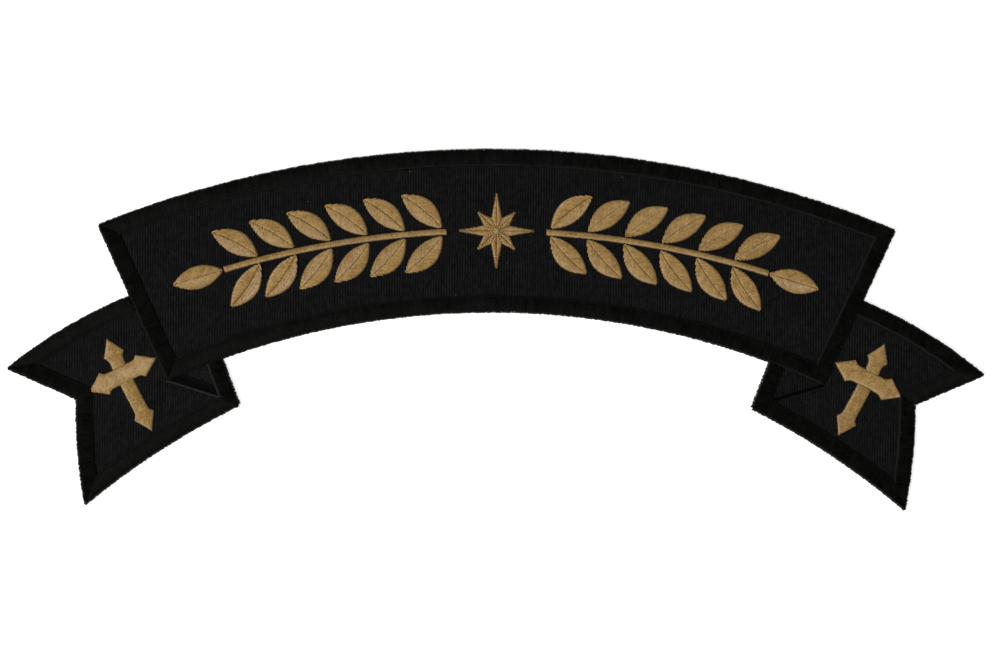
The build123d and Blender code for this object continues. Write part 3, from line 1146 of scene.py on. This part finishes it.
def pocket(points, side, depth, crease):
    """Depth of the cloth behind a fold line, height of the creases, and depth of the painted
    shade.
    """
    loop = outlines(f"{side}_fold_line")[0]
    foot = loop[loop[:, 1].argmin()]
    head = loop[loop[:, 1].argmax()]
    way = unit(foot - head)
    inner = turned(way, 90 if side == "left" else -90)
    offset = points - head
    behind = offset @ inner
    along = offset @ way
    length = np.hypot(*(foot - head))
    there = (behind > 0) & (along > 0) & (along < length * pocket_run)
    there &= ~inside(points, band_outline)
    hollow = ramp(behind, pocket_wall * pocket_width)
    hollow = hollow * ramp(pocket_width - behind, (1 - pocket_wall) * pocket_width)
    hollow *= ramp(length - along, pocket_end)
    fanned = behind - crease_fan * (length * fan_middle - along)
    near, far = creased
    share = ramp(behind - near, crease_fade) * ramp(far - behind, crease_fade)
    share *= ramp(along - length * crease_start, pocket_end)
    folds = share * (0.5 + 0.5 * np.sin(2 * math.pi * fanned / crease_pitch)) ** 2
    # Painted shade: how much darker the cloth is painted in the pocket behind the fold line
    painted_shade_share = ramp(behind, painted_shade_edge) * (hollow > 0)
    return [np.where(there, size, 0) * MM
            for size in (depth * hollow, crease * folds, depth * painted_shade_share)]


relief = rib_depth * rib_height(phase)
relief -= sewn_dip * np.exp(-((to_edge / sewn_reach) ** 2))
hollows, creases, shades = np.sum([pocket(grid, **row) for row in POCKETS], axis=0)
relief += creases - hollows
swing = WAVES["swing"] * np.sin(grid[:, 1] / WAVES["along"])
waves = np.sin(grid[:, 0] / WAVES["across"] + swing)
relief += WAVES["height"] * waves * ramp(to_edge, WAVES["fade"])
print("Deepest hollow:", round(float(hollows.max()) / MM, 2), "mm")

# %% Cloth as one closed sheet
inside_only = 1  # tells the triangulation to leave out what is outside the ring
same_place = 1e-8


def ring_edges(count):
    """The pairs of numbers that join so many points in a ring."""
    return [(i, (i + 1) % count) for i in range(count)]


flat_points = [Vector(p) for p in (*rim, *grid)]
made = delaunay_2d_cdt(flat_points, ring_edges(len(rim)), [], inside_only, same_place)
top_faces = [tuple(face) for face in made[2]]
heights = np.concatenate([np.zeros(len(rim)), relief])
sources = [origins[0] if origins else 0 for origins in made[3]]
points = [(p.x, p.y, cloth_top + heights[i]) for p, i in zip(made[0], sources)]
following = outer_edges(top_faces)
ring = [next(iter(following))]
while len(ring) < len(following):
    ring.append(following[ring[-1]])
print("Cut edge of the cloth:", len(ring), "points")

back_start = len(points)
points += [(points[i][0], points[i][1], 0.0) for i in ring]
ring_points = [Vector(points[i][:2]) for i in ring]
back = delaunay_2d_cdt(ring_points, ring_edges(len(ring)), [], inside_only, same_place)
back_of = [origins[0] for origins in back[3]]
back_faces = [tuple(back_start + back_of[i] for i in reversed(face)) for face in back[2]]
walls = [(ring[i], back_start + i, back_start + j, ring[j]) for i, j in ring_edges(len(ring))]

cloth_mesh = bpy.data.meshes.new("ground_cloth")
cloth_mesh.from_pydata(points, [], top_faces + walls + back_faces)
cloth_mesh.materials.append(twill_material)
cloth_mesh.materials.append(film_material)
count = len(top_faces)
is_back = [0] * (count + len(walls)) + [1] * len(back_faces)
cloth_mesh.polygons.foreach_set("material_index", is_back)
smooth = [True] * count + [False] * (len(walls) + len(back_faces))
cloth_mesh.polygons.foreach_set("use_smooth", smooth)
no_ribs = np.zeros(len(points) - len(sources))
ribs = np.concatenate([rim[:, 0] / rib_pitch, phase])[sources]
set_points(cloth_mesh, "rib", np.concatenate([ribs, no_ribs]))
deepest = POCKETS[0]
# Painted light in the cloth's colour: painted shade in the pockets, painted highlight on the
# crease tops
pocket_painted_light = pocket_painted_shade * shades / (deepest["depth"] * MM)
pocket_painted_light -= crease_painted_highlight * creases / (deepest["crease"] * MM)
painted_light_of_points = np.concatenate([np.zeros(len(rim)), pocket_painted_light])[sources]
set_points(cloth_mesh, "painted_shading", np.concatenate([painted_light_of_points, no_ribs]))
cloth = show(cloth_mesh, "black_twill", "twill_ground")
print("Faces of the cloth:", len(cloth_mesh.polygons))
